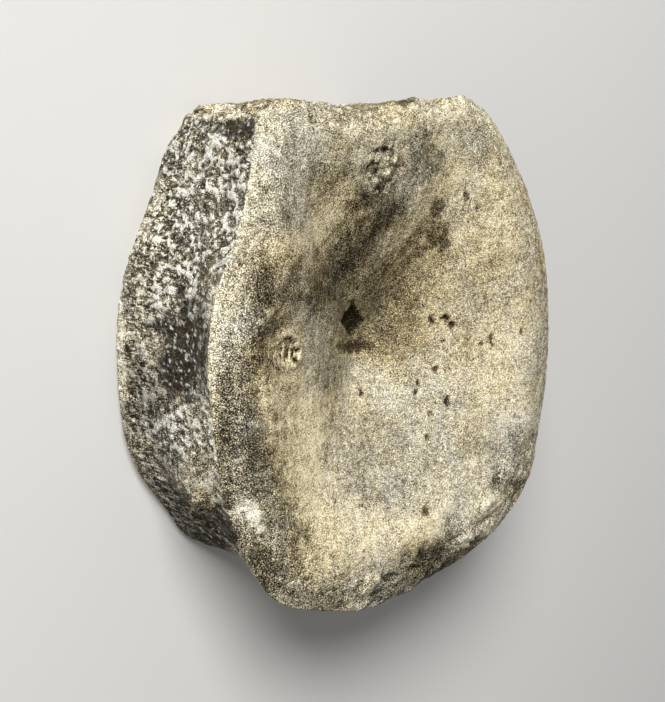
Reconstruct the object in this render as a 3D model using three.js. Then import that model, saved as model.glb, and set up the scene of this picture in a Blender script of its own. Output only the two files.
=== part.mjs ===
// Fossil ichthyosaur vertebra: one short, drum-shaped centrum with a funnel-like hollow in each end face.
// It lies on its hind face. X runs across the body, Y towards the back of the animal, Z along the spine.
// Millimetres, origin on the floor under the middle of the bone.

import * as THREE from 'three';
import { ParametricGeometry } from 'three/addons/geometries/ParametricGeometry.js';
import { mergeVertices } from 'three/addons/utils/BufferGeometryUtils.js';

// Driving sizes
const HEIGHT = 92;          // keel to the seats of the neural arch
const WIDTH = 84;
const EDGE_SPAN = 31.4;     // along the spine, between the outer edges of the two rims
const CREST_RISE = 2.4;     // crest of each rim above its outer edge
const FRONT_DEPTH = 13.4;   // middle of the front hollow below the rim's outer edge
const BACK_DEPTH = 10;      // the same for the hind hollow
const WAIST = 2.4;          // how far the flank draws in between the rims
const HIND_SHORTER = 2;     // how much shorter the hind face is, all of it at the keel
const HIND_TURN = 2.2;      // degrees by which the hind face is twisted clockwise, seen from the front

// Shape of an end face
const CREST_PLACE = 0.8;    // crest's distance from the middle, in shares of the outline
const CREST_TOP = 0.9;      // the same under the neural arch, where the rim is narrow
const FUNNEL_POWER = 1.35;  // 1 is a straight cone, more is steeper towards the middle
const MIDDLE_LIFT = 0.9;    // millimetres from the middle of the outline up to the middle of the hollow
const UNDER_ARCH = [0.5, 0.95];  // the rim narrows between these shares of half the height
const EDGE_FADE = 3;        // how fast the flank's shifts fade inwards over the end faces

// Outline of an end face, clockwise from the floor of the neural canal. Each point is in shares of half the width
// and half the height. The left upper corner is sharp, the right one worn round, and the keel is worn to one side.
const OUTLINE = [
  [-0.22, 0.998],   // floor of the neural canal, worn lowest left of the middle
  [0.02, 1.03],
  [0.22, 1.022],
  [0.42, 1.016],    // right seat of the neural arch
  [0.575, 0.925],   // right upper corner
  [0.70, 0.79],
  [0.82, 0.625],
  [0.92, 0.39],
  [0.985, 0.06],    // widest place
  [0.98, -0.20],
  [0.905, -0.51],
  [0.855, -0.68],   // right lower corner
  [0.73, -0.815],
  [0.48, -0.925],
  [0.15, -0.97],
  [-0.22, -0.995],  // keel
  [-0.45, -0.955],
  [-0.73, -0.825],  // left lower corner
  [-0.84, -0.68],
  [-0.91, -0.51],
  [-0.975, -0.25],
  [-0.99, 0.00],    // widest place
  [-0.975, 0.18],
  [-0.92, 0.39],
  [-0.795, 0.635],
  [-0.735, 0.82],
  [-0.705, 0.955],
  [-0.605, 1.025],  // left upper corner and seat of the neural arch
  [-0.40, 1.01],
];

// Forms on both flanks: place in shares of half the width and half the height, place along the spine in shares of
// the edge span, reach and rise in millimetres
const RIB_FACET = { x: 0.92, y: -0.40, along: 0.55, reach: 5.5, reachAlong: 7.0, rise: 2.4 };
const RIB_TIP = { x: 0.93, y: -0.43, along: 0.61, reach: 3.2, reachAlong: 3.6, rise: 1.0 };
const UNDER_HOLLOW = { x: 0.78, y: -0.72, along: 0.52, reach: 6.0, reachAlong: 6.0, rise: -2.6 };
const HIND_CORNER = { x: 0.69, y: 0.98, along: 0.0, reach: 4.0, reachAlong: 12.0, rise: -3.4 };
const HIND_FOOT = { x: 0.82, y: -0.72, along: 0.0, reach: 7.0, reachAlong: 7.0, rise: -1.8 };
const ARCH_SEAT = { x: 0.40, y: 1.01, along: 0.45, reach: 5.0, reachAlong: 8.0, rise: -0.8 };
const CANAL_FLOOR = { x: 0.08, y: 1.01, along: 0.40, reach: 7.0, reachAlong: 11.0, rise: -1.9 };
const CORNER_RECESS = { x: 0.67, y: 0.93, along: 0.76, reach: 3.0, reachAlong: 5.0, rise: -0.8 };
const FLANK_FORMS = [
  RIB_FACET, RIB_TIP, UNDER_HOLLOW, HIND_CORNER, HIND_FOOT, ARCH_SEAT, CANAL_FLOOR, CORNER_RECESS,
];

// The flank draws in fully below this height, and not at all at the seats of the neural arch (shares of half the
// height)
const WAIST_TOP = [0.70, 0.98];

// Forms on the end faces: place, reach and rise out of the face in millimetres
const NOTOCHORD_PIT = { x: -2.9, y: 6.2, reachX: 1.5, reachY: 2.8, rise: -2.0 };
const RING_SCAR = { x: -25.4, y: 6.8, reachX: 2.0, reachY: 2.6, rise: -0.5 };
const CRUMBLED_PATCH = { x: -4.6, y: 35.3, reachX: 2.4, reachY: 3.0, rise: 0.4 };
const HIND_PIT = { x: 0, y: 2.6, reachX: 1.5, reachY: 2.3, rise: -1.6 };
const FRONT_FORMS = [NOTOCHORD_PIT, RING_SCAR, CRUMBLED_PATCH];
const HIND_FORMS = [HIND_PIT];

// Slow unevenness of the worn surface: waves round the bone, slant along it, size in millimetres and start
const WEAR = [
  { round: 3, slant: 4, size: 0.25, start: 0.4 },
  { round: 7, slant: 8, size: 0.18, start: 2.1 },
  { round: 12, slant: 12, size: 0.12, start: 4.4 },
];

// Mesh
const STATIONS = 108;       // round the outline
const STACKS = 50;          // from the front middle over both rims to the hind middle
const FACE_SHARE = 0.38;    // share of the stacks on each end face
const FUNNEL_SHARE = 0.72;  // share of a face's stacks inside its crest
const OUTLINE_STEPS = 1600; // for even spacing round the outline
const WELD = 1e-4;          // millimetres within which points of the grid are one

const SPINE = new THREE.Vector3(0, 0, 1);
const outlinePoints = OUTLINE.map(([x, y]) => new THREE.Vector3(x * WIDTH / 2, y * HEIGHT / 2, 0));
const outline = new THREE.CatmullRomCurve3(outlinePoints, true, 'centripetal');
outline.arcLengthDivisions = OUTLINE_STEPS;

// A bump of height 1 that fades with distance counted in reaches
function bump(...distances) {
  const squared = distances.reduce((sum, distance) => sum + distance * distance, 0);
  return Math.exp(-squared / 2);
}

// Distance from the middle, as a share of the outline, and height above the rim's outer edge, towards a point of
// the outline and at a share of the way there
function facePoint(edge, share, depth) {
  const [start, end] = UNDER_ARCH.map((part) => part * HEIGHT / 2);
  const under = THREE.MathUtils.smoothstep(edge.y, start, end);
  const crest = THREE.MathUtils.lerp(CREST_PLACE, CREST_TOP, under);
  if (share < FUNNEL_SHARE) {
    const inward = 1 - share / FUNNEL_SHARE;
    return {
      reach: crest * (1 - inward),
      rise: CREST_RISE - (CREST_RISE + depth) * inward ** FUNNEL_POWER,
    };
  }
  const outward = (share - FUNNEL_SHARE) / (1 - FUNNEL_SHARE);
  return {
    reach: crest + (1 - crest) * outward,
    rise: CREST_RISE * (1 - outward * outward),
  };
}

// Outward shift of the flank, in millimetres, at a point of the outline and a share of the edge span
function flankShift(edge, along) {
  const [waistEnd, seat] = WAIST_TOP.map((share) => share * HEIGHT / 2);
  const drawn = 1 - THREE.MathUtils.smoothstep(edge.y, waistEnd, seat);
  let shift = -WAIST * drawn * Math.sin(Math.PI * along);
  for (const form of FLANK_FORMS) {
    const across = (Math.abs(edge.x) - form.x * WIDTH / 2) / form.reach;
    const up = (edge.y - form.y * HEIGHT / 2) / form.reach;
    const length = (along - form.along) * EDGE_SPAN / form.reachAlong;
    shift += form.rise * bump(across, up, length);
  }
  return shift;
}

// Outward shift from wear at a place round the outline and a share of the edge span
function wearShift(around, along) {
  return WEAR.reduce((sum, wave) => {
    const angle = 2 * Math.PI * wave.round * around + wave.slant * along + wave.start;
    return sum + wave.size * Math.sin(angle);
  }, 0);
}

// Rise of an end face's own forms at a point of it
function faceShift(x, y, forms) {
  return forms.reduce((sum, form) => {
    const across = (x - form.x) / form.reachX;
    const up = (y - form.y) / form.reachY;
    return sum + form.rise * bump(across, up);
  }, 0);
}

// Point of the surface: `around` runs clockwise round the outline, `down` from the front middle to the hind middle
function surface(around, down, target) {
  const edge = outline.getPointAt(around % 1);
  const onFront = down <= FACE_SHARE;
  const onBack = down >= 1 - FACE_SHARE;
  let reach = 1;
  let along = 1 - (down - FACE_SHARE) / (1 - 2 * FACE_SHARE);
  let height = CREST_RISE + EDGE_SPAN * along;
  if (onFront) {
    const face = facePoint(edge, down / FACE_SHARE, FRONT_DEPTH);
    reach = face.reach;
    along = 1;
    height = CREST_RISE + EDGE_SPAN + face.rise;
  } else if (onBack) {
    const face = facePoint(edge, (1 - down) / FACE_SHARE, BACK_DEPTH);
    reach = face.reach;
    along = 0;
    height = CREST_RISE - face.rise;
  }
  const shift = flankShift(edge, along) + wearShift(around, along);
  const scale = reach * (1 + shift * reach ** EDGE_FADE / edge.length());
  const keelward = 0.5 - edge.y * scale / HEIGHT;
  const lift = MIDDLE_LIFT * (1 - reach) + HIND_SHORTER * keelward * (1 - along);
  target.set(edge.x * scale, edge.y * scale + lift, height);
  target.applyAxisAngle(SPINE, -THREE.MathUtils.degToRad(HIND_TURN) * (1 - along));
  if (onFront) {
    target.z += faceShift(target.x, target.y, FRONT_FORMS);
  } else if (onBack) {
    target.z -= faceShift(target.x, target.y, HIND_FORMS);
  }
}

const grid = new ParametricGeometry(surface, STATIONS, STACKS);
grid.deleteAttribute('normal');
grid.deleteAttribute('uv');
const shell = mergeVertices(grid, WELD);

// Stand the bone's box on the floor, centred on the origin
shell.computeBoundingBox();
const box = shell.boundingBox;
shell.translate(-(box.min.x + box.max.x) / 2, -(box.min.y + box.max.y) / 2, -box.min.z);
shell.computeVertexNormals();

const fossilBone = new THREE.MeshStandardMaterial({ color: 0x9c907a, roughness: 0.85, metalness: 0 });
const centrum = new THREE.Mesh(shell, fossilBone);
centrum.name = 'centrum';

const vertebra = new THREE.Group();
vertebra.name = 'vertebra';
vertebra.add(centrum);

export default vertebra;
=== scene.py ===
"""Looks of the fossil ichthyosaur vertebra: one finely worn bone that replaces the plain centrum.

Shapes are worked out in millimetres in the frame's own axes (X across the body, Y towards the animal's back,
Z up along the spine) and written to the mesh in metres. Marks that the photograph shows are placed by its
pixels, on the front face and the left flank. The right flank borrows the left one's marks, moved. The hind
face and the upper side are worn by noise.
"""

import math

import bpy
import numpy as np
from mathutils import Matrix, Vector


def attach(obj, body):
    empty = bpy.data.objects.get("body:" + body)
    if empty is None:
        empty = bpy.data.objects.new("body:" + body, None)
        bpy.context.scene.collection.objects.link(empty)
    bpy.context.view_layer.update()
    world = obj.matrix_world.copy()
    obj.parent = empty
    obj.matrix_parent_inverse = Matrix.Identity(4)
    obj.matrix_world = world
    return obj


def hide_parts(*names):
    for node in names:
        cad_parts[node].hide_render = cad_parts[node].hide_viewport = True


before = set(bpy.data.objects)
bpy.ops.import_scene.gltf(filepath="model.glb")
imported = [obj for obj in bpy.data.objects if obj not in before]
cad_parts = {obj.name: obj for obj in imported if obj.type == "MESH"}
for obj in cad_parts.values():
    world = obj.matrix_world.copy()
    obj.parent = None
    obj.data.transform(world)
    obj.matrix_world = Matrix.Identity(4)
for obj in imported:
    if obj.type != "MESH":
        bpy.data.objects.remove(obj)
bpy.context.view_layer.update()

MM = 0.001

# Form of the bone, as in the solid (millimetres and shares of the outline)
HEIGHT = 92.0
WIDTH = 84.0
EDGE_SPAN = 31.4
CREST_RISE = 2.4
FRONT_DEPTH = 13.4
BACK_DEPTH = 10.0
WAIST = 2.4
HIND_SHORTER = 2.0
HIND_TURN = math.radians(2.2)
CREST_PLACE = 0.8
CREST_TOP = 0.9
FUNNEL_POWER = 1.35
MIDDLE_LIFT = 0.9
UNDER_ARCH = (0.5, 0.95)
EDGE_FADE = 3
FRONT_EDGE = CREST_RISE + EDGE_SPAN

# Outline of an end face, clockwise from the floor of the neural canal, in shares of half the width and half
# the height
OUTLINE = [
    (-0.22, 0.998), (0.02, 1.03), (0.22, 1.022), (0.42, 1.016),
    (0.575, 0.925), (0.70, 0.79), (0.82, 0.625), (0.92, 0.39),
    (0.985, 0.06), (0.98, -0.20), (0.905, -0.51), (0.855, -0.68),
    (0.73, -0.815), (0.48, -0.925), (0.15, -0.97), (-0.22, -0.995),
    (-0.45, -0.955), (-0.73, -0.825), (-0.84, -0.68), (-0.91, -0.51),
    (-0.975, -0.25), (-0.99, 0.00), (-0.975, 0.18), (-0.92, 0.39),
    (-0.795, 0.635), (-0.735, 0.82), (-0.705, 0.955), (-0.605, 1.025),
    (-0.40, 1.01),
]

# Forms on both flanks: place across and up in shares of half the width and half the height, place along the
# spine in shares of the edge span, reach round the outline and along the spine, and rise
FLANK_FORMS = [
    (0.92, -0.40, 0.55, 5.5, 7.0, 2.4),     # rib facet
    (0.93, -0.43, 0.61, 3.2, 3.6, 1.0),     # its tip
    (0.78, -0.72, 0.52, 6.0, 6.0, -2.6),    # hollow under it
    (0.69, 0.98, 0.00, 4.0, 12.0, -3.4),    # hind upper corner, worn round
    (0.82, -0.72, 0.00, 7.0, 7.0, -1.8),    # hind lower corner
    (0.40, 1.01, 0.45, 5.0, 8.0, -0.8),     # seat of the neural arch
    (0.08, 1.01, 0.40, 7.0, 11.0, -1.9),    # floor of the neural canal
    (0.67, 0.93, 0.76, 3.0, 5.0, -0.8),     # recess under the upper corner
]
WAIST_TOP = (0.70, 0.98)
# Slow unevenness: waves round the bone, slant along it, size in millimetres and start
WEAR_WAVES = [(3, 4, 0.25, 0.4), (7, 8, 0.18, 2.1), (12, 12, 0.12, 4.4)]

# Mesh: half the points along one side of the square that is drawn out into each face, rings down the flank,
# share of a face's rings inside its crest, and steps between two points of the outline
FACE_HALF = 160
FLANK_RINGS = 120
FUNNEL_SHARE = 0.78
CURVE_STEPS = 60

# View of the photograph: angles from square on to the front face, aim in millimetres
PHOTO_SIZE = (665, 702)
LENS_PIXELS = 1024.0
VIEW_YAW = math.radians(39)
VIEW_RISE = math.radians(11)
BONE_LEAN = math.radians(3)
AIM = np.array([-16.3, 4.0, FRONT_EDGE])
AIM_DISTANCE = 177.3
SENSOR = 36.0                          # millimetres, the camera's longer side
NEAREST = 0.01                         # metres, where the camera begins to see


# Noise

def smoothstep(low, high, value):
    share = np.clip((value - low) / (high - low), 0.0, 1.0)
    return share * share * (3.0 - 2.0 * share)


def fade(start, end, value):
    """1 up to the start, 0 past the end."""
    return 1 - smoothstep(start, end, value)


class Noise:
    """Gradient noise of a fixed seed, about -1 to 1, with cells of the size asked for."""

    GAIN = 1.6        # brings the sum of slopes up to about -1 to 1
    SCATTER = 0.45    # how far the middles of cells stray, in cells

    def __init__(self, seed):
        draw = np.random.default_rng(seed)
        self.order = draw.permutation(256)
        slopes = draw.normal(size=(256, 3))
        self.slopes = slopes / np.linalg.norm(slopes, axis=1, keepdims=True)
        self.shift = draw.uniform(0, 256, 3)

    def corner(self, cell):
        order = self.order
        x = order[cell[:, 0] & 255]
        y = order[(x + cell[:, 1]) & 255]
        return order[(y + cell[:, 2]) & 255]

    def __call__(self, points, size):
        place = points / size + self.shift
        cell = np.floor(place).astype(np.int64)
        inside = place - cell
        fade = inside ** 3 * (inside * (inside * 6 - 15) + 10)
        total = np.zeros(len(points))
        for step in np.ndindex(2, 2, 2):
            weight = np.prod(np.where(step, fade, 1 - fade), axis=1)
            slope = self.slopes[self.corner(cell + step)]
            total += weight * np.einsum("ij,ij->i", slope, inside - step)
        return total * self.GAIN

    def layers(self, points, size, count, fall=0.5):
        total = np.zeros(len(points))
        for layer in range(count):
            total += fall ** layer * self(points, size * 0.5 ** layer)
        return total

    def cells(self, points, size):
        """Distance to the nearest of the scattered middles, in cells, and a number for each middle."""
        place = points / size + self.shift
        cell = np.floor(place).astype(np.int64)
        nearest = np.full(len(points), 9.0)
        owner = np.zeros(len(points))
        for step in np.ndindex(3, 3, 3):
            there = cell + np.array(step) - 1
            number = self.corner(there)
            middle = there + 0.5 + self.SCATTER * self.slopes[number]
            distance = np.linalg.norm(place - middle, axis=1)
            closer = distance < nearest
            nearest = np.where(closer, distance, nearest)
            owner = np.where(closer, number / 255.0, owner)
        return nearest, owner


# Form

def closed_curve(points, count):
    """Evenly spaced points on the smooth closed curve through the given ones (centripetal spacing)."""
    fine = []
    steps = np.linspace(0, 1, CURVE_STEPS, endpoint=False)[:, None]
    total = len(points)
    for index in range(total):
        p0, p1, p2, p3 = (points[(index + offset) % total] for offset in (-1, 0, 1, 2))
        t0 = np.linalg.norm(p1 - p0) ** 0.5
        t1 = np.linalg.norm(p2 - p1) ** 0.5
        t2 = np.linalg.norm(p3 - p2) ** 0.5
        lead = ((p1 - p0) / t0 - (p2 - p0) / (t0 + t1) + (p2 - p1) / t1) * t1
        tail = ((p2 - p1) / t1 - (p3 - p1) / (t1 + t2) + (p3 - p2) / t2) * t1
        square, cube = steps ** 2, steps ** 3
        fine.append((2 * cube - 3 * square + 1) * p1 + (cube - 2 * square + steps) * lead
                    + (3 * square - 2 * cube) * p2 + (cube - square) * tail)
    fine = np.concatenate(fine + [fine[0][:1]])
    length = np.concatenate([[0], np.cumsum(np.linalg.norm(np.diff(fine, axis=0), axis=1))])
    wanted = np.linspace(0, length[-1], count, endpoint=False)
    return np.stack([np.interp(wanted, length, fine[:, axis]) for axis in (0, 1)], axis=1)


def flank_shift(edge, along):
    waist_end, seat = (share * HEIGHT / 2 for share in WAIST_TOP)
    drawn = fade(waist_end, seat, edge[:, 1])
    shift = -WAIST * drawn * np.sin(np.pi * along)
    for across, up, place, reach, reach_along, rise in FLANK_FORMS:
        side = (np.abs(edge[:, 0]) - across * WIDTH / 2) / reach
        height = (edge[:, 1] - up * HEIGHT / 2) / reach
        length = (along - place) * EDGE_SPAN / reach_along
        shift = shift + rise * np.exp(-(side ** 2 + height ** 2 + length ** 2) / 2)
    return shift


def wear_shift(around, along):
    return sum(size * np.sin(2 * np.pi * turns * around + slant * along + start)
               for turns, slant, size, start in WEAR_WAVES)


def face_point(edge, share, depth):
    """Reach in shares of the outline, and rise above the rim's outer edge, at a share of the way out."""
    start, end = (part * HEIGHT / 2 for part in UNDER_ARCH)
    under = smoothstep(start, end, edge[:, 1])
    crest = CREST_PLACE + (CREST_TOP - CREST_PLACE) * under
    inward = np.clip(1 - share / FUNNEL_SHARE, 0, 1)
    outward = np.clip((share - FUNNEL_SHARE) / (1 - FUNNEL_SHARE), 0, 1)
    reach = np.where(outward > 0, crest + (1 - crest) * outward, crest * (1 - inward))
    rise = CREST_RISE * (1 - outward ** 2) - (CREST_RISE + depth) * inward ** FUNNEL_POWER
    return reach, rise


def square_rings(half):
    """Ring of each grid point of a square, and its place round it, clockwise from the middle of the top."""
    across, up = np.meshgrid(np.arange(-half, half + 1), np.arange(-half, half + 1), indexing="ij")
    ring = np.maximum(np.abs(across), np.abs(up))
    place = np.select(
        [(up == ring) & (across >= 0), across == ring, up == -ring, across == -ring],
        [across, 2 * ring - up, 4 * ring - across, 6 * ring + up],
        8 * ring + across,
    )
    return ring.ravel(), (place / np.maximum(8 * ring, 1)).ravel()


FRONT, FLANK, BACK = 0, 1, 2


class Bone:
    """Points of the bone's surface, each with its side, place round the outline, reach and place along."""

    def __init__(self):
        stations = 8 * FACE_HALF
        ring, place = square_rings(FACE_HALF)
        self.curve = closed_curve(np.array(OUTLINE) * [WIDTH / 2, HEIGHT / 2], stations)
        self.girth = np.linalg.norm(np.roll(self.curve, -1, axis=0) - self.curve, axis=1).sum()
        spread = (FLANK_RINGS + 1 - np.arange(1, FLANK_RINGS + 1)) / (FLANK_RINGS + 1)
        around = [place, np.tile(np.arange(stations) / stations, FLANK_RINGS), place]
        share = [ring / FACE_HALF, np.ones(stations * FLANK_RINGS), ring / FACE_HALF]
        along = [np.ones(len(ring)), np.repeat(spread, stations), np.zeros(len(ring))]
        side = [np.full(len(part), number) for number, part in enumerate(around)]
        self.around, self.share, self.along, self.side = (
            np.concatenate(parts) for parts in (around, share, along, side))
        self.points = self.form()
        self.faces, self.chart = self.weave(ring, place)

    def edge(self):
        stations = len(self.curve)
        place = self.around * stations
        low = np.floor(place).astype(int)
        part = (place - low)[:, None]
        return self.curve[low % stations] * (1 - part) + self.curve[(low + 1) % stations] * part

    def form(self):
        edge = self.edge()
        front_reach, front_rise = face_point(edge, self.share, FRONT_DEPTH)
        back_reach, back_rise = face_point(edge, self.share, BACK_DEPTH)
        self.reach = np.select([self.side == FRONT, self.side == BACK], [front_reach, back_reach], 1.0)
        height = np.select(
            [self.side == FRONT, self.side == BACK],
            [FRONT_EDGE + front_rise, CREST_RISE - back_rise],
            CREST_RISE + EDGE_SPAN * self.along,
        )
        shift = flank_shift(edge, self.along) + wear_shift(self.around, self.along)
        scale = self.reach * (1 + shift * self.reach ** EDGE_FADE / np.linalg.norm(edge, axis=1))
        across, up = (edge * scale[:, None]).T
        keelward = 0.5 - up / HEIGHT
        up = up + MIDDLE_LIFT * (1 - self.reach) + HIND_SHORTER * keelward * (1 - self.along)
        turn = HIND_TURN * (1 - self.along)
        across, up = across * np.cos(turn) + up * np.sin(turn), up * np.cos(turn) - across * np.sin(turn)
        points = np.column_stack([across, up, height])
        middle = (points.min(0) + points.max(0)) / 2
        return points - [middle[0], middle[1], 0.0]

    def weave(self, ring, place):
        """Four-cornered faces, each with the number of its side."""
        stations = 8 * FACE_HALF
        width = 2 * FACE_HALF + 1
        count = width * width
        grid = np.arange(count).reshape(width, width)
        corners = (grid[:-1, :-1], grid[1:, :-1], grid[1:, 1:], grid[:-1, 1:])
        front = np.stack([corner.ravel() for corner in corners], axis=1)
        back = front[:, ::-1] + count + stations * FLANK_RINGS
        rim = np.flatnonzero(ring == FACE_HALF)
        rim = rim[np.argsort(np.rint(place[rim] * stations))]
        middle = count + np.arange(stations * FLANK_RINGS).reshape(FLANK_RINGS, stations)
        stack = np.vstack([rim, middle, rim + count + stations * FLANK_RINGS])
        upper, lower = stack[:-1], stack[1:]
        flank = np.stack([upper, np.roll(upper, -1, 1), np.roll(lower, -1, 1), lower], axis=2).reshape(-1, 4)
        faces = np.concatenate([front, flank, back])
        chart = np.repeat([FRONT, FLANK, BACK], [len(front), len(flank), len(back)])
        return faces, chart

    def normals(self):
        corner = self.points[self.faces]
        across = np.cross(corner[:, 2] - corner[:, 0], corner[:, 3] - corner[:, 1])
        total = np.zeros_like(self.points)
        for index in range(4):
            for axis in range(3):
                total[:, axis] += np.bincount(self.faces[:, index], across[:, axis], len(self.points))
        return total / np.maximum(np.linalg.norm(total, axis=1, keepdims=True), 1e-12)


# View

def view_axes():
    """Right, up and forward of the photograph's camera in the frame."""
    yaw_sin, yaw_cos = math.sin(VIEW_YAW), math.cos(VIEW_YAW)
    rise_sin, rise_cos = math.sin(VIEW_RISE), math.cos(VIEW_RISE)
    axes = np.array([
        [yaw_cos, 0.0, yaw_sin],
        [rise_sin * yaw_sin, rise_cos, -rise_sin * yaw_cos],
        [rise_cos * yaw_sin, -rise_sin, -rise_cos * yaw_cos],
    ])
    lean_sin, lean_cos = math.sin(BONE_LEAN), math.cos(BONE_LEAN)
    turn = np.array([[lean_cos, -lean_sin, 0], [lean_sin, lean_cos, 0], [0, 0, 1]])
    return axes @ turn


AXES = view_axes()
CAMERA_PLACE = AIM - AIM_DISTANCE * AXES[2]


def photo_place(points):
    """Pixels of the photograph at which points of the bone show."""
    seen = (points - CAMERA_PLACE) @ AXES.T
    scale = LENS_PIXELS / seen[:, 2]
    return np.column_stack([PHOTO_SIZE[0] / 2 + seen[:, 0] * scale, PHOTO_SIZE[1] / 2 - seen[:, 1] * scale])


# Marks by pixels of the photograph: middle, half width, half height, turn in degrees and strength. A turn
# tips the mark clockwise as the picture shows it. A strength above 0 is paler or warmer, below 0 darker or
# cooler.
FACE_SHADE = [
    (352, 170, 36, 30, -20, -0.12),    # painted shade on the upper wall
    (362, 238, 62, 20, -51, -0.16),    # along the slanting streak
    (383, 306, 46, 42, -20, -0.24),    # painted shade on the upper wall, right of the notochord's pit
    # painted shade on the upper wall
    (418, 258, 34, 26, -30, -0.13),
    (330, 285, 26, 46, 20, -0.12),     # painted shade on the wall left of it
    # painted shade on the left wall, in this mark and the next
    (290, 285, 28, 50, 0, -0.18),
    (266, 330, 20, 46, 0, -0.26),
    (243, 430, 22, 70, 0, -0.22),      # painted shade down the left rim
    # painted shade on the lower left edge
    (258, 568, 18, 38, -35, -0.30),
    # painted shade on the left wall, beside the pit
    (312, 372, 28, 26, 0, -0.14),
    # painted shade on the upper left wall, in this mark and the next
    (302, 212, 18, 16, 0, -0.12),
    (338, 185, 28, 22, 0, -0.14),
    (476, 152, 14, 24, 0, -0.10),
    # painted shade on the upper wall
    (418, 226, 22, 14, -40, -0.12),
    # painted shade on the left wall
    (254, 275, 18, 60, 0, -0.12),
    (446, 562, 30, 14, -25, -0.18),
    # painted shade on the left wall
    (266, 480, 22, 60, -12, -0.18),
    (222, 350, 12, 60, 0, -0.10),
    (292, 550, 36, 34, 20, -0.22),     # painted shade on the lower left edge
    # painted shade on the bottom lip, which faces down
    (345, 598, 72, 16, 0, -0.22),
    (226, 450, 10, 46, 0, -0.20),
    (242, 489, 14, 11, 0, -0.18),
    (228, 400, 8, 30, 0, -0.10),
    (432, 562, 44, 18, -24, -0.28),
    (512, 470, 20, 40, 15, -0.12),     # lower right rim
    (478, 298, 20, 18, 0, -0.06),
    (475, 140, 16, 24, 0, -0.06),
    (345, 113, 75, 12, 0, -0.14),
    (372, 492, 36, 12, 0, -0.06),
    (320, 135, 20, 24, 0, 0.12),       # upper left rim
    (290, 145, 26, 40, 0, 0.08),
    (326, 222, 44, 14, -51, 0.12),     # pale band beside the streak
    (452, 165, 24, 36, 0, 0.12),
    (490, 230, 40, 80, 0, 0.04),
    # painted light on the right wall, in this mark and the next
    (502, 335, 20, 30, 0, 0.10),
    (506, 385, 26, 50, 10, 0.06),      # painted light on the right wall
    (526, 422, 14, 26, 0, 0.14),
    # painted light on the lower wall below the pit
    (376, 392, 28, 22, 0, 0.10),
    (380, 525, 50, 20, 0, 0.12),       # painted light on the lower wall
    (314, 455, 20, 84, -4, 0.24),      # painted light on the lower left wall
    (326, 562, 20, 18, 0, 0.16),
    (278, 242, 12, 14, 0, 0.12),
]
FACE_STAINS_AND_SHADE = [
    (421, 158, 23, 22, 0, -0.16),      # beside the crumbled patch
    (366, 196, 19, 12, -35, -0.24),
    (325, 295, 20, 12, -60, -0.12),
    (438, 206, 9, 15, 5, -0.34),
    (437, 233, 14, 16, 10, -0.30),
    (408, 250, 18, 12, 0, -0.10),
    (352, 346, 17, 7, -8, -0.34),      # smear below the pit
    (264, 286, 11, 24, 10, -0.18),
    (262, 345, 11, 36, 0, -0.10),
    (250, 400, 13, 46, 0, -0.10),
    (263, 470, 14, 40, -12, -0.12),
    (517, 438, 17, 17, 0, -0.16),      # lower right rim
    (520, 492, 10, 22, 25, -0.20),
    (496, 484, 4, 12, 12, -0.34),
    (455, 527, 13, 15, 20, -0.28),
    (438, 549, 22, 10, -25, -0.22),
    (476, 546, 11, 7, -40, -0.22),
    (405, 566, 28, 11, -22, -0.10),
    (376, 499, 16, 4, 5, -0.18),
    (405, 101, 13, 3, -8, -0.36),      # chip on the upper edge
    # painted shade where the lower left corner of the front face is recessed, in this mark and the next
    (226, 503, 12, 10, 0, -0.24),
    (229, 526, 9, 24, -20, -0.30),
    (486, 503, 5, 17, 35, 0.22),       # bright ridges of the lower right rim
    (467, 538, 8, 10, 20, 0.34),
]
FACE_WARMTH = [
    (490, 230, 60, 130, 0, 0.45),
    (425, 195, 35, 14, -40, 0.30),
    (322, 225, 46, 18, -51, 0.45),
    (308, 450, 26, 95, -4, 0.65),
    (280, 400, 20, 80, 0, 0.35),
    (330, 545, 40, 26, 0, 0.45),
    (380, 525, 55, 22, 0, 0.25),
    (309, 120, 12, 10, 0, 0.30),
    (290, 285, 30, 50, 0, 0.35),
    (385, 290, 56, 60, 0, 0.55),
    (352, 345, 22, 12, 0, 0.40),
    (245, 470, 20, 60, 0, -0.25),
    (420, 450, 45, 45, 0, -0.30),
    (512, 445, 18, 26, 0, -0.50),
    (290, 150, 30, 30, 0, -0.40),
    (475, 140, 14, 22, 0, -0.45),
]
FLANK_SHADE = [
    (172, 145, 16, 30, 30, -0.30),
    (228, 190, 22, 60, 10, -0.06),
    (150, 290, 20, 40, 0, -0.10),
    (166, 430, 26, 30, 0, -0.12),
    (190, 245, 30, 46, 0, -0.08),
    (225, 225, 20, 60, 10, -0.08),
    (140, 320, 24, 60, 0, -0.15),
    (142, 400, 20, 50, 0, -0.10),
    (150, 420, 34, 70, 0, -0.12),
    (125, 392, 10, 26, 0, -0.16),
    # painted shadow under the rib facet's lobe
    (170, 505, 34, 28, 40, -0.28),
    (214, 400, 7, 70, 0, 0.24),        # crest between flank and face
    (232, 110, 40, 7, -3, 0.16),       # pale upper edge
    (118, 350, 6, 150, 0, 0.30),       # pale hind rim
]
BLACK_BAND = (240, 127, 26, 9, -8, -0.62)  # under the upper edge
FLANK_STAINS_AND_SHADE = [
    BLACK_BAND,
    (203, 124, 13, 6, 20, -0.46),
    (262, 150, 4, 16, 0, -0.40),
    (198, 266, 12, 30, 8, -0.18),      # black patch
    (192, 312, 18, 34, 8, -0.30),
    (182, 362, 33, 50, 0, -0.46),
    (218, 532, 26, 32, 35, -0.60),     # painted shade in the hollow under the rib facet, in this mark and the next
    (185, 525, 26, 16, 35, -0.30),
    (151, 360, 8, 8, 0, 0.24),
    (184, 411, 17, 8, 0, 0.28),
]
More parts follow.
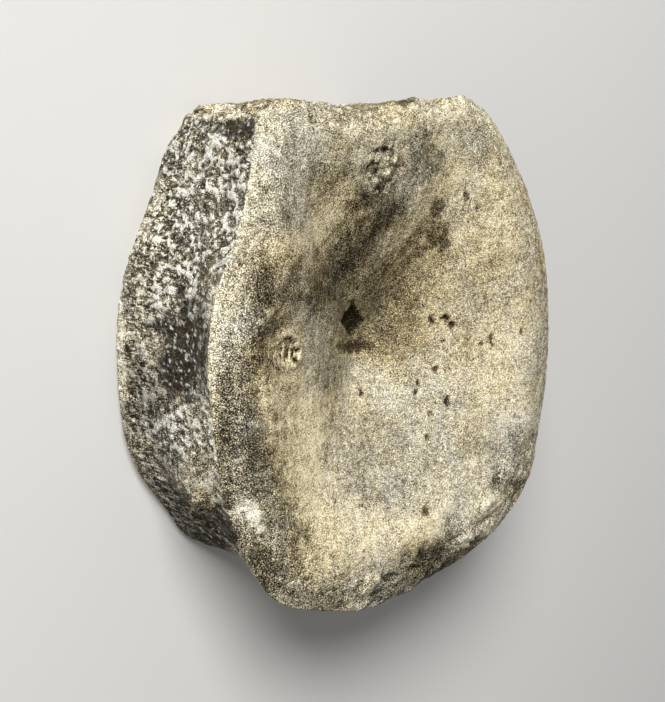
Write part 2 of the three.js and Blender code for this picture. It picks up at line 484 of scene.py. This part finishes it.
FLANK_WARMTH = [
    (232, 110, 36, 8, -3, 0.35),
    (190, 484, 14, 26, -20, 0.30),
    (182, 370, 26, 40, 0, 0.25),
    # brown of the painted shade in the hollow under the rib facet
    (215, 530, 30, 32, 30, 0.80),
]

# Where the flank is etched to a sugary surface, and where it stays smooth
ETCHED = [
    (212, 190, 52, 70, 10, 1.0),
    (172, 270, 30, 50, 0, 0.7),
    (186, 428, 28, 28, 0, 0.6),
    (218, 440, 12, 60, 0, 0.6),
]
SMOOTH = [
    (181, 358, 31, 54, 0, 0.9),
    (240, 127, 26, 9, -8, 0.9),
    (190, 484, 15, 26, -20, 0.6),
    (218, 532, 28, 34, 35, 0.8),
]
HIDDEN_FLANK_SHIFT = np.array([10.0, 34.0])  # pixels by which the marks of the hidden flank lie elsewhere
# White lower left corner of the front face
CHALK_CORNER = (252, 519, 15, 24, -30)
# Ochre band down the left wall: its ends and half width in pixels
OCHRE_BAND = ((268, 350), (312, 560))
OCHRE_HALF = 22

# Pits on the front face: middle, half width, half height in pixels, depth in millimetres
FACE_PITS = [
    (431, 320, 3, 4.5, 0.7),
    (446, 319, 4, 5, 0.8),
    (452, 326, 2.5, 4, 0.6),
    (436, 370, 3, 4, 0.6),
    (448, 402, 3, 5.5, 0.8),
    (415, 393, 2.2, 3.5, 0.5),
    (418, 384, 1.8, 3, 0.4),
    (361, 392, 2.2, 4, 0.6),
    (430, 414, 3, 2, 0.5),
    (428, 437, 2.2, 3, 0.4),
    (426, 512, 3.5, 4.5, 0.3),
    (363, 507, 5, 2, 0.5),
    (384, 149, 4, 2.5, 0.6),
    (467, 197, 2.4, 4.5, 0.5),
    (477, 209, 2, 3, 0.4),
    (492, 340, 1.6, 8, 0.5),
    (481, 344, 3, 2, 0.4),
    (522, 333, 2.2, 3, 0.4),
    (443, 341, 2.5, 2, 0.4),
    (358, 288, 2, 2, 0.3),
    (436, 402, 1.6, 2, 0.3),
]
# Craters on the flank: middle and radius in pixels, rim and depth in millimetres
FLANK_CRATERS = [
    (203, 186, 7, 0.30, 0.4),
    (178, 240, 8, 0.30, 0.4),
    (180, 291, 9, 0.35, 0.6),
    (204, 250, 6, 0.30, 0.4),
    (225, 243, 6, 0.30, 0.3),
    (170, 142, 4, 0.20, 0.3),
]
# Old scars on the front face: middle, half sizes in pixels, rim and depth in millimetres, roughness inside
RING_SCARS = [
    (288, 351, 12, 16.5, 0.34, 0.40, 1.0),
    (256, 331, 8, 9, 0.14, 0.20, 0.3),
]
# Slanting streaks of the upper wall: ends, half width in pixels, tone
STREAKS = [
    ((396, 208), (338, 276), 11, -0.20),
    ((395, 210), (372, 231), 7, -0.14),
    ((384, 203), (332, 250), 4, -0.14),
    ((356, 205), (312, 258), 4, -0.08),
    ((424, 228), (368, 284), 7, -0.10),
    ((306, 252), (276, 304), 6, -0.16),
]
# Pit of the notochord: middle, half width, half height in pixels, depth in millimetres
NOTOCHORD_PIT = (352.5, 321, 11.5, 21, 1.2)
# Ridge beside the ring scar: ends, half width in pixels, rise in millimetres
SLANT_RIDGE = ((277, 304), (261, 324), 5.0, 0.35)
# Faint rays of the upper wall: where they meet, and the circle they are spaced on, in millimetres
HOLLOW_MIDDLE = np.array([-2.9, 6.2])
RAY_REACH = 22.0
# Crumbled patch, the roughened ground beside it, and the worn parts of the lower rim
CRUMBLED = (384, 168, 19, 28, 0)
ROUGHENED = (420, 158, 22, 22, 0)
ERODED = [
    (468, 532, 26, 20, -35),
    (514, 478, 15, 38, 18),
    (432, 562, 36, 14, -24),
    (375, 592, 50, 14, -8),
]
# Single hollows and lumps of the lower right rim, with their rise in millimetres
ERODED_FORMS = [
    (455, 527, 13, 15, 20, -0.9),
    (438, 549, 20, 9, -25, -0.6),
    (476, 546, 11, 7, -40, -0.7),
    (496, 484, 4, 12, 12, -0.6),
    (520, 492, 10, 22, 25, -0.6),
    (486, 503, 6, 20, 35, 0.8),
    (467, 538, 8, 10, 20, 1.0),
    (510, 462, 9, 18, 15, 0.6),
    (414, 572, 12, 8, -20, 0.5),
]
# Corners of the rib facet in pixels, and its rise at the tip in millimetres
RIB_FACET = ((167, 455), (204, 466), (200, 512))
RIB_FACET_RISE = 0.8
CANAL_MIDDLE = -1.5                    # millimetres, middle of the neural canal's floor
HIND_PIT = (0.0, 2.0, 2.4, 3.6, 1.6)   # millimetres: middle, half width, half height and depth
UPPER_EDGE = (0.90, 0.99)              # shares of half the height between which chips of the upper edge begin
DORSAL_SIDE = (0.90, 0.97)             # the same for the canal's floor and the seats of the neural arch
RIM = (0.78, 0.94)                     # shares of the outline between which the rim begins
LEFT_WALL = (6.0, -14.0)               # millimetres across, between which the left wall begins

# Drift of the marks from their places in pixels, fraying of their edges, and the sizes of both in millimetres
FAR_DRIFT = 7.0
FAR_DRIFT_SIZE = 8.0
NEAR_DRIFT = 2.2
NEAR_DRIFT_SIZE = 1.1
FRAY = 0.55
FRAY_SIZE = 4.5

# Sizes of the patterns of wear in millimetres
FINE = 1.4
SWELL = 11.0
BLOTCH = 15.0
WARM_PATCH = 11.0
FLECK = 1.8
CRUST = 1.6
SCAR_GRAIN = 0.8
LUMP = 1.6
BITE = 4.2
STREAK = 1.3
MOTTLE = 2.6
RAY = 1.2
SUGAR = 1.1
CLUMP = 3.2
SPECK = 0.9
LINE_GAP = 0.8
LINE_LENGTH = 5.0
GROOVE_LENGTH = 7.0
SEAT_HOLLOW = 2.6
BACK_BLOTCH = 12.0
BACK_HOLLOW = 2.8
BACK_GRAIN = 1.8
CHIP = 4.0

# Shares by which patterns are drawn out, rim widths in shares of their marks, and grooves from middle to edge
SCAR_STRETCH = (1.0, 0.6, 1.0)
STREAK_STRETCH = (1.0, 0.14, 1.0)
CHIP_STRETCH = (1.0, 1.0, 0.4)
DRAWN_OUT = 0.3
RING_WIDTH = 0.22
CRATER_RIM_WIDTH = 0.28
GROOVES = 36.0


def oval(place, mark):
    """Distance from a mark's middle, in its own half sizes."""
    x, y, half_width, half_height, turn = mark[:5]
    angle = math.radians(turn)
    across = (place[:, 0] - x) * math.cos(angle) + (place[:, 1] - y) * math.sin(angle)
    down = (place[:, 1] - y) * math.cos(angle) - (place[:, 0] - x) * math.sin(angle)
    return np.hypot(across / half_width, down / half_height)


def soft(place, marks):
    """Sum of marks that fade slowly outwards."""
    return sum(mark[5] * fade(0.1, 1.7, oval(place, mark)) for mark in marks)


def ragged(place, marks, fray):
    """Sum of marks with a frayed edge."""
    return sum(mark[5] * fade(0.55, 1.15, oval(place, mark) + fray) for mark in marks)


def near_line(place, start, end):
    """Distance in pixels from a line between two places."""
    start, end = np.array(start, float), np.array(end, float)
    run = end - start
    share = np.clip((place - start) @ run / (run @ run), 0, 1)
    return np.linalg.norm(place - start - share[:, None] * run, axis=1)


def past_sides(place, corners):
    """Distance in pixels past the nearest side of a shape whose corners run clockwise, below 0 inside."""
    corners = np.array(corners, float)
    sides = np.roll(corners, -1, axis=0) - corners
    outward = np.column_stack([sides[:, 1], -sides[:, 0]]) / np.linalg.norm(sides, axis=1, keepdims=True)
    return np.max([(place - corner) @ way for corner, way in zip(corners, outward)], axis=0)


class Surface:
    """Fine relief of the bone, in millimetres along its normals, and the masks that colour it.

    rise is the relief, tone runs from black to pale and warm from grey to cream. chalk is white crust, grit
    the strength of the fine grain, and lined that of the short lines beside the hind rim.
    """

    def __init__(self, bone):
        self.bone = bone
        self.points = bone.points
        self.front, self.flank, self.back = (bone.side == side for side in (FRONT, FLANK, BACK))
        self.place = self.marked_place()
        self.warped = self.place + FAR_DRIFT * self.drift(FAR_DRIFT_SIZE, 3, 11)
        self.near = self.place + NEAR_DRIFT * self.drift(NEAR_DRIFT_SIZE, 2, 13)
        self.fray = FRAY * Noise(15).layers(self.points, FRAY_SIZE, 4, 0.65)
        self.run = bone.around * bone.girth
        self.fine = Noise(21).layers(self.points, FINE, 2)
        self.rise, self.tone, self.warm, self.chalk, self.grit, self.lined = np.zeros((6, len(self.points)))
        self.wear_everywhere()
        self.stain_and_shade_front()
        self.carve_front()
        self.crumble_front()
        self.erode_front()
        self.streak_front()
        self.groove_rim()
        self.stain_and_shade_flank()
        self.etch_flank()
        self.line_flank()
        self.mark_dorsal_side()
        self.carve_flank()
        self.wear_back()
        self.chip_upper_edge()

    def marked_place(self):
        """Pixels by which each point finds its marks. The hidden flank borrows the seen one's, moved."""
        hidden = (self.flank & (self.points[:, 0] > 0))[:, None]
        place = photo_place(np.where(hidden, self.points * [-1.0, 1.0, 1.0], self.points))
        return place + np.where(hidden, HIDDEN_FLANK_SHIFT, 0.0)

    def drift(self, size, count, seed):
        return np.column_stack([Noise(seed + step).layers(self.points, size, count) for step in (0, 1)])

    def mark(self, where, **changes):
        """Adds changes of rise, tone, warm, chalk, grit or lined, in full where the mask is 1."""
        for name, change in changes.items():
            setattr(self, name, getattr(self, name) + where * change)

    def wear_everywhere(self):
        swell = Noise(22).layers(self.points, SWELL, 3)
        blotch = Noise(23).layers(self.points, BLOTCH, 4, 0.6)
        patch = Noise(24).layers(self.points, WARM_PATCH, 4, 0.65)
        self.mark(
            1.0,
            rise=0.14 * swell + 0.05 * self.fine,
            tone=0.63 + 0.10 * blotch + 0.05 * self.fine,
            warm=0.50 + 0.42 * patch,
            grit=0.42,
        )

    def stain_and_shade_front(self):
        # tone of the stains, and of the painted shade and painted light that some marks carry
        stains_and_shading = soft(self.warped, FACE_SHADE) + ragged(self.near, FACE_STAINS_AND_SHADE, self.fray)
        self.mark(self.front, tone=stains_and_shading, warm=soft(self.warped, FACE_WARMTH))
        for start, end, half_width, tone in STREAKS:
            distance = near_line(self.near, start, end) / half_width + 0.6 * self.fray
            self.mark(self.front * fade(0.1, 1.5, distance), tone=tone)
        fleck = Noise(27).layers(self.points, FLECK, 3, 0.7)
        ochre = self.front * fade(0.2, 1.5, near_line(self.warped, *OCHRE_BAND) / OCHRE_HALF)
        self.mark(ochre, tone=0.16 * fleck, warm=0.4 + 0.7 * fleck)
        crust = Noise(38).layers(self.points, CRUST, 2)
        corner = self.front * fade(0.55, 1.05, oval(self.near, CHALK_CORNER) + 1.3 * self.fray)
        self.mark(corner, rise=0.25 * crust, tone=0.42, warm=-0.35, grit=-0.2)

    def carve_front(self):
        for x, y, half_width, half_height, depth in FACE_PITS:
            inside = self.front * fade(0.6, 1.3, oval(self.near, (x, y, half_width, half_height, 0)))
            self.mark(inside, rise=-depth, tone=-0.48)
        x, y, half_width, half_height, depth = NOTOCHORD_PIT
        across, down = self.place.T
        diamond = np.abs(across - x) / half_width + np.abs(down - y) / half_height
        inside = self.front * fade(0.55, 1.10, diamond + 0.15 * self.fine)
        self.mark(inside, rise=-depth, tone=-0.62)
        grain = Noise(33).layers(self.points * SCAR_STRETCH, SCAR_GRAIN, 2, 0.7)
        for x, y, half_width, half_height, rim, depth, rough in RING_SCARS:
            distance = oval(self.near, (x, y, half_width, half_height, 0)) + 0.12 * self.fine
            ring = self.front * np.exp(-((distance - 1.0) / RING_WIDTH) ** 2)
            inside = self.front * fade(0.65, 1.0, distance)
            self.mark(ring, rise=rim, tone=0.10)
            self.mark(inside, rise=-depth * (0.7 + 1.2 * rough * grain), tone=1.1 * rough * grain - 0.04)
        start, end, half_width, rim = SLANT_RIDGE
        ridge = self.front * fade(0.2, 1.3, near_line(self.place, start, end) / half_width)
        self.mark(ridge, rise=rim, tone=0.18)

    def crumble_front(self):
        lump, number = Noise(34).cells(self.points, LUMP)
        patch = self.front * fade(0.7, 1.1, oval(self.place, CRUMBLED) + 0.4 * self.fray)
        self.mark(
            patch,
            rise=0.8 * (0.5 - lump) + (number - 0.5),
            tone=0.80 * (0.42 - lump) + 0.36 * (number - 0.45) + 0.02,
        )
        patch = self.front * fade(0.7, 1.2, oval(self.warped, ROUGHENED) + self.fray)
        self.mark(patch, rise=0.4 * (0.5 - lump), tone=0.22 * (0.45 - lump))

    def erode_front(self):
        spots = [fade(0.6, 1.3, oval(self.warped, mark) + self.fray) for mark in ERODED]
        worn = self.front * np.max(spots, axis=0)
        bite = Noise(35).layers(self.points, BITE, 3, 0.5)
        self.mark(worn, rise=0.75 * bite, tone=0.22 * bite, grit=0.15)
        self.mark(self.front, rise=soft(self.near, ERODED_FORMS))

    def streak_front(self):
        left = self.front * smoothstep(*LEFT_WALL, self.points[:, 0])
        streak = Noise(36).layers(self.points * STREAK_STRETCH, STREAK, 2)
        mottle = Noise(40).layers(self.points, MOTTLE, 2, 0.8)
        self.mark(left, rise=0.06 * streak, tone=0.05 * streak + 0.09 * mottle)
        offset = self.points[:, :2] - HOLLOW_MIDDLE
        distance = np.linalg.norm(offset, axis=1)
        rays = np.column_stack([offset / distance[:, None] * RAY_REACH, 0.15 * distance])
        ray = Noise(39).layers(rays, RAY, 2)
        upper = self.front * smoothstep(0.0, 10.0, offset[:, 1]) * fade(0.6, 0.9, self.bone.reach)
        self.mark(upper, rise=0.05 * ray, tone=0.12 * ray)

    def groove_rim(self):
        across, up = self.points[:, 0], self.points[:, 1]
        rim = self.front * smoothstep(*RIM, self.bone.reach)
        grooves = np.column_stack([self.run / GROOVE_LENGTH, self.bone.reach * GROOVES, 0 * self.run])
        groove = Noise(37).layers(grooves, 1.0, 2)
        self.mark(rim, rise=0.10 * groove + 0.10 * self.fine, tone=0.07 * groove + 0.07 * self.fine)
        self.mark(rim * fade(-20.0, 0.0, across) * fade(12.0, 26.0, up), grit=0.20)

    def stain_and_shade_flank(self):
        # tone of the stains, and of the painted shade and shadow under the rib facet
        stains_and_shading = soft(self.warped, FLANK_SHADE) + ragged(self.near, FLANK_STAINS_AND_SHADE, self.fray)
        self.mark(self.flank, tone=stains_and_shading - 0.20, warm=soft(self.warped, FLANK_WARMTH) - 0.15)

    def etch_flank(self):
        self.smooth = np.clip(ragged(self.near, SMOOTH, 0.8 * self.fray), 0, 1)
        etched = self.flank * np.clip(0.35 + soft(self.warped, ETCHED), 0, 1) * (1 - self.smooth)
        drawn = self.points.copy()
        drawn[:, 2] *= 1 - DRAWN_OUT * drawn[:, 2] / FRONT_EDGE
        sugar = Noise(41).layers(drawn, SUGAR, 2, 0.7)
        clump = Noise(42).layers(drawn, CLUMP, 2)
        self.mark(
            etched,
            rise=0.32 * sugar + 0.22 * clump,
            tone=0.40 * sugar + 0.28 * clump - 0.15,
            chalk=smoothstep(0.12, 0.34, sugar + 0.45 * clump),
            grit=0.5,
        )
        speck = smoothstep(0.46, 0.66, Noise(46).layers(drawn, SPECK, 3, 0.7) + 0.3 * clump)
        self.mark(self.flank * self.smooth, rise=0.22 * sugar, chalk=0.8 * speck)
        self.grit *= 1 - 0.15 * self.flank * self.smooth

    def line_flank(self):
        along = self.bone.along
        hindward = self.flank * fade(0.10, 0.62, along) * smoothstep(0.02, 0.10, along) * (1 - self.smooth)
        lines = np.column_stack([self.run / LINE_GAP, self.points[:, 2] / LINE_LENGTH, 0 * self.run])
        line = Noise(43).layers(lines, 1.0, 2)
        self.mark(hindward, rise=0.16 * line, tone=0.24 * line, lined=1.0)

    def mark_dorsal_side(self):
        start, end = (share * HEIGHT / 2 for share in DORSAL_SIDE)
        dorsal = self.flank * smoothstep(start, end, self.points[:, 1])
        aside = np.abs(self.points[:, 0] - CANAL_MIDDLE)
        canal = dorsal * fade(5.0, 9.0, aside)
        seat = dorsal * smoothstep(8.0, 12.0, aside)
        self.chalk *= 1 - 0.8 * canal
        self.mark(canal, tone=0.10, grit=-0.3)
        self.mark(dorsal, warm=0.25)
        hollow = smoothstep(0.10, 0.50, Noise(44).layers(self.points, SEAT_HOLLOW, 2))
        self.mark(seat * hollow, rise=-0.5, tone=-0.24)

    def carve_flank(self):
        for x, y, radius, rim, depth in FLANK_CRATERS:
            distance = oval(self.near, (x, y, radius, radius, 0))
            ring = self.flank * np.exp(-((distance - 1.0) / CRATER_RIM_WIDTH) ** 2)
            inside = self.flank * fade(0.35, 0.85, distance)
            self.mark(ring, rise=rim, tone=0.20)
            self.mark(inside, rise=-depth, tone=-0.26)
            self.chalk *= 1 - inside
        facet = self.flank * fade(-2.0, 2.5, past_sides(self.near, RIB_FACET))
        top, tip = RIB_FACET[0][1], RIB_FACET[2][1]
        towards_tip = smoothstep(top, tip, self.near[:, 1])
        self.mark(facet, rise=RIB_FACET_RISE * towards_tip, tone=0.08 * towards_tip - 0.04, warm=-0.05)
        band = self.flank * fade(0.6, 1.2, oval(self.warped, BLACK_BAND) + self.fray)
        self.mark(band, rise=-0.3)

    def wear_back(self):
        blotch = Noise(51).layers(self.points, BACK_BLOTCH, 4, 0.6)
        pale, dark = smoothstep(0.0, 0.5, -blotch), smoothstep(0.05, 0.45, blotch)
        self.mark(self.back, tone=0.10 * pale - 0.20 * dark)
        hollow = smoothstep(0.42, 0.75, Noise(52).layers(self.points, BACK_HOLLOW, 2))
        self.mark(self.back * hollow, rise=-0.35, tone=-0.26)
        x, y, half_width, half_height, depth = HIND_PIT
        distance = np.hypot((self.points[:, 0] - x) / half_width, (self.points[:, 1] - y) / half_height)
        self.mark(self.back * fade(0.5, 1.1, distance + 0.25 * self.fine), rise=-depth, tone=-0.45)
        rim = self.back * smoothstep(*RIM, self.bone.reach)
        self.mark(rim, rise=0.12 * Noise(53).layers(self.points, BACK_GRAIN, 2), grit=0.25)

    def chip_upper_edge(self):
        start, end = (share * HEIGHT / 2 for share in UPPER_EDGE)
        high = smoothstep(start, end, self.points[:, 1])
        edge = high * np.where(self.flank, 1.0, smoothstep(0.86, 0.98, self.bone.reach))
        chip = Noise(61).layers(self.points * CHIP_STRETCH, CHIP, 2)
        self.mark(edge, rise=0.6 * chip, tone=0.10 * chip)


# Mesh

SHEET = 206.0                          # millimetres across the unwrapped sheet
CHART_GAP = 4.0
MASKS = ("tone", "warm", "chalk", "grit", "lined")


def bone_mesh(bone, surface):
    points = bone.points + bone.normals() * surface.rise[:, None]
    points[:, 2] = np.maximum(points[:, 2], 0.0)
    mesh = bpy.data.meshes.new("fossil_bone")
    mesh.from_pydata(points * MM, [], bone.faces)
    mesh.shade_smooth()
    for name in MASKS:
        layer = mesh.attributes.new(name, "FLOAT", "POINT")
        layer.data.foreach_set("value", np.clip(getattr(surface, name), 0, 1).astype(np.float32))
    unwrap(mesh, bone)
    mesh.validate()
    return mesh


def unwrap(mesh, bone):
    """Lays both faces flat side by side, with the flank below them in two strips."""
    corner = bone.faces.ravel()
    chart = np.repeat(bone.chart, 4)
    points = bone.points[corner]
    half = HEIGHT / 2 + CHART_GAP
    u = np.where(chart == BACK, 3 * half - points[:, 0], half + points[:, 0])
    v = SHEET - half + points[:, 1]
    stations = len(bone.curve)
    station = np.rint(bone.around[corner].reshape(-1, 4) * stations).astype(int) % stations
    wraps = (station.max(1) - station.min(1)) > stations // 2
    station = np.where(wraps[:, None] & (station < stations // 2), station + stations, station)
    strip = (station.min(1) >= stations // 2).astype(int)
    run = (station - strip[:, None] * (stations // 2)) / stations * bone.girth
    flank = chart == FLANK
    strip_height = FRONT_EDGE + 2 * CHART_GAP
    u = np.where(flank, CHART_GAP + run.ravel(), u)
    v = np.where(flank, CHART_GAP + np.repeat(strip, 4) * strip_height + points[:, 2], v)
    layer = mesh.uv_layers.new(name="OFBake")
    layer.data.foreach_set("uv", (np.column_stack([u, v]) / SHEET).ravel().astype(np.float32))


# Material

GREY_STOPS = [
    (0.00, (0.006, 0.005, 0.003)),
    (0.20, (0.035, 0.031, 0.022)),
    (0.40, (0.125, 0.114, 0.086)),
    (0.60, (0.300, 0.276, 0.212)),
    (0.80, (0.580, 0.541, 0.432)),
    (1.00, (0.880, 0.842, 0.715)),
]
CREAM_STOPS = [
    (0.00, (0.007, 0.005, 0.002)),
    (0.20, (0.041, 0.030, 0.014)),
    (0.40, (0.147, 0.112, 0.057)),
    (0.60, (0.343, 0.277, 0.154)),
    (0.80, (0.633, 0.542, 0.328)),
    (1.00, (0.905, 0.815, 0.570)),
]
CHALK = (0.84, 0.82, 0.74, 1.0)

# Patterns of the colour: sizes in millimetres and shares of the tone
FINE_COLOUR = 0.19
FINE_SHARE = 5.0
MIDDLING_COLOUR = 0.75
MIDDLING_SHARE = 1.4
COARSE_COLOUR = 2.6
COARSE_SHARE = 0.44
DASH_COLOUR = 0.40
DASH_SHARE = 1.7
DASH_STRETCH = (1.0, 1.0, 0.12)

# Chalk by the fine pattern and roughness by the tone, each as a slope and a start
CHALK_PATCHES = (3.2, -0.95)
ROUGHNESS = (0.15, 0.75)
SHINE = 0.10
BUMP_STRENGTH = 0.6
BUMP_HEIGHT = 0.10                     # millimetres


class Shader:
    """Builds the nodes of one material."""

    def __init__(self, name):
        self.material = bpy.data.materials.new(name)
        self.material.use_nodes = True
        self.nodes = self.material.node_tree.nodes
        self.links = self.material.node_tree.links
        self.surface = self.nodes["Principled BSDF"]
        self.coordinates = self.nodes.new("ShaderNodeTexCoord").outputs["Object"]

    def set(self, socket, value):
        if isinstance(value, (float, tuple)):
            socket.default_value = value
        else:
            self.links.new(value, socket)

    def attribute(self, name):
        node = self.nodes.new("ShaderNodeAttribute")
        node.attribute_name = name
        return node.outputs["Fac"]

    def stretched(self, scale):
        node = self.nodes.new("ShaderNodeMapping")
        node.inputs["Scale"].default_value = scale
        self.links.new(self.coordinates, node.inputs["Vector"])
        return node.outputs["Vector"]

    def noise(self, size, detail, roughness=0.6, place=None):
        node = self.nodes.new("ShaderNodeTexNoise")
        node.inputs["Scale"].default_value = 1 / (size * MM)
        node.inputs["Detail"].default_value = detail
        node.inputs["Roughness"].default_value = roughness
        self.links.new(place or self.coordinates, node.inputs["Vector"])
        return node.outputs["Fac"]

    def math(self, kind, *values):
        node = self.nodes.new("ShaderNodeMath")
        node.operation = kind
        for socket, value in zip(node.inputs, values):
            self.set(socket, value)
        return node.outputs[0]

    def about_zero(self, noise, size):
        return self.math("MULTIPLY_ADD", noise, size, -size / 2)

    def ramp(self, place, stops):
        node = self.nodes.new("ShaderNodeValToRGB")
        elements = node.color_ramp.elements
        while len(elements) < len(stops):
            elements.new(1.0)
        for element, (position, colour) in zip(elements, stops):
            element.position = position
            element.color = (*colour, 1.0)
        self.links.new(place, node.inputs["Fac"])
        return node.outputs["Color"]

    def mix(self, share, first, second):
        node = self.nodes.new("ShaderNodeMix")
        node.data_type = "RGBA"
        sockets = [socket for socket in node.inputs if socket.enabled]
        for socket, value in zip(sockets, (share, first, second)):
            self.set(socket, value)
        return next(socket for socket in node.outputs if socket.enabled)


def fossil_material():
    shader = Shader("fossil_bone")
    fine = shader.noise(FINE_COLOUR, 1.0, 0.5)
    middling = shader.noise(MIDDLING_COLOUR, 2.0)
    coarse = shader.noise(COARSE_COLOUR, 3.0)
    lines = shader.noise(DASH_COLOUR, 1.0, 0.5, shader.stretched(DASH_STRETCH))
    grains = shader.about_zero(fine, FINE_SHARE), shader.about_zero(middling, MIDDLING_SHARE)
    grit = shader.math("MULTIPLY", shader.math("ADD", *grains), shader.attribute("grit"))
    mottle = shader.about_zero(coarse, COARSE_SHARE)
    dashes = shader.math("MULTIPLY", shader.about_zero(lines, DASH_SHARE), shader.attribute("lined"))
    pattern = shader.math("ADD", grit, shader.math("ADD", mottle, dashes))
    tone = shader.math("ADD", shader.attribute("tone"), pattern)
    bone = shader.mix(shader.attribute("warm"), shader.ramp(tone, GREY_STOPS), shader.ramp(tone, CREAM_STOPS))
    patchy = shader.math("MULTIPLY_ADD", fine, *CHALK_PATCHES)
    chalk = shader.math("MULTIPLY", shader.attribute("chalk"), patchy)
    shader.set(shader.surface.inputs["Base Color"], shader.mix(chalk, bone, CHALK))
    shader.set(shader.surface.inputs["Roughness"], shader.math("MULTIPLY_ADD", tone, *ROUGHNESS))
    shader.surface.inputs["Specular IOR Level"].default_value = SHINE
    bump = shader.nodes.new("ShaderNodeBump")
    bump.inputs["Strength"].default_value = BUMP_STRENGTH
    bump.inputs["Distance"].default_value = BUMP_HEIGHT * MM
    shader.set(bump.inputs["Height"], shader.math("ADD", fine, middling))
    shader.set(shader.surface.inputs["Normal"], bump.outputs["Normal"])
    return shader.material


# Stage

FLOOR_SIZE = 4.0
FLOOR_COLOUR = (0.60, 0.59, 0.57, 1.0)
FLOOR_ROUGHNESS = 0.9
SKY_STRENGTH = 0.20
# Lights: way to the light, distance and width in metres, watts
LIGHTS = {
    "key": ((-0.42, 0.66, 0.62), 0.9, 0.40, 12.5),
    "fill": ((-0.85, -0.25, 0.46), 1.2, 0.9, 1.6),
}


def make_floor():
    half = FLOOR_SIZE / 2
    mesh = bpy.data.meshes.new("floor")
    corners = [(-half, -half, 0), (half, -half, 0), (half, half, 0), (-half, half, 0)]
    mesh.from_pydata(corners, [], [(0, 1, 2, 3)])
    material = bpy.data.materials.new("floor")
    material.use_nodes = True
    shader = material.node_tree.nodes["Principled BSDF"]
    shader.inputs["Base Color"].default_value = FLOOR_COLOUR
    shader.inputs["Roughness"].default_value = FLOOR_ROUGHNESS
    mesh.materials.append(material)
    floor = bpy.data.objects.new("floor", mesh)
    bpy.context.scene.collection.objects.link(floor)


def area_light(name, way, distance, size, watts):
    light = bpy.data.lights.new(name, "AREA")
    light.shape = "DISK"
    light.size = size
    light.energy = watts
    lamp = bpy.data.objects.new(name, light)
    lamp.location = Vector(way).normalized() * distance
    lamp.rotation_euler = (-lamp.location).to_track_quat("-Z", "Y").to_euler()
    bpy.context.scene.collection.objects.link(lamp)


def make_lights():
    for name, light in LIGHTS.items():
        area_light(name, *light)
    world = bpy.data.worlds.new("studio")
    world.use_nodes = True
    sky = world.node_tree.nodes["Background"]
    sky.inputs["Color"].default_value = (1.0, 1.0, 1.0, 1.0)
    sky.inputs["Strength"].default_value = SKY_STRENGTH
    bpy.context.scene.world = world


def make_camera():
    data = bpy.data.cameras.new("camera")
    data.sensor_width = SENSOR
    data.lens = LENS_PIXELS / max(PHOTO_SIZE) * SENSOR
    data.clip_start = NEAREST
    camera = bpy.data.objects.new("camera", data)
    right, up, forward = AXES
    turn = Matrix((right, up, -forward)).transposed()
    camera.matrix_world = Matrix.Translation(Vector(CAMERA_PLACE * MM)) @ turn.to_4x4()
    bpy.context.scene.collection.objects.link(camera)
    bpy.context.scene.camera = camera


def make_bone():
    form = Bone()
    bone = bpy.data.objects.new("fossil_bone", bone_mesh(form, Surface(form)))
    bone.data.materials.append(fossil_material())
    bpy.context.scene.collection.objects.link(bone)
    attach(bone, "root")
    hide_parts("centrum")


make_bone()
make_floor()
make_lights()
make_camera()
bpy.context.scene.view_settings.view_transform = "Standard"

bpy.context.view_layer.update()
